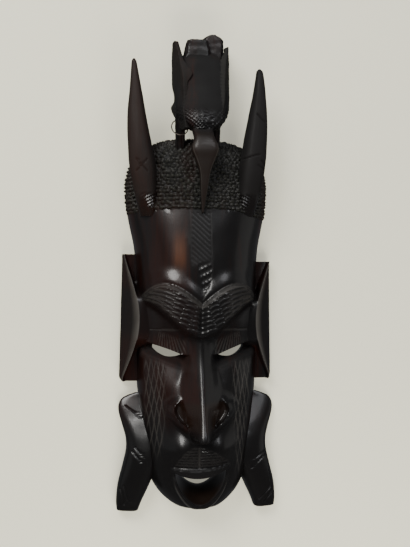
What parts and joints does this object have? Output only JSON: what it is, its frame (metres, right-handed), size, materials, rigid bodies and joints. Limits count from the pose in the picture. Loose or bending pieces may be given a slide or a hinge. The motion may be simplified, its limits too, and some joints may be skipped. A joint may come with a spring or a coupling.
{
  "type": "carved wooden wall mask",
  "caption": "Long carved blackwood wall mask: a horned face with pierced slit eyes and an open mouth, and a long-billed bird standing on its crown.",
  "frame": {"origin": "centre of the bounding box in X and Y, on the plane of the flat rim behind the face, on which the mask lies", "axes": "+X to the right as one looks at the face, +Y up the mask from the chin to the crown, +Z out of the face"},
  "size_m": [0.146, 0.426, 0.0767],
  "materials": {
    "carved_wood": "near-black heartwood with red-brown streaks, hand polished; the chip-carved hair is dull and dusty",
    "wire": "dark, dull iron wire"
  },
  "bodies": {
    "root": {"mask": "carved_wood", "hanging_wire": "wire"}
  },
  "joints": []
}
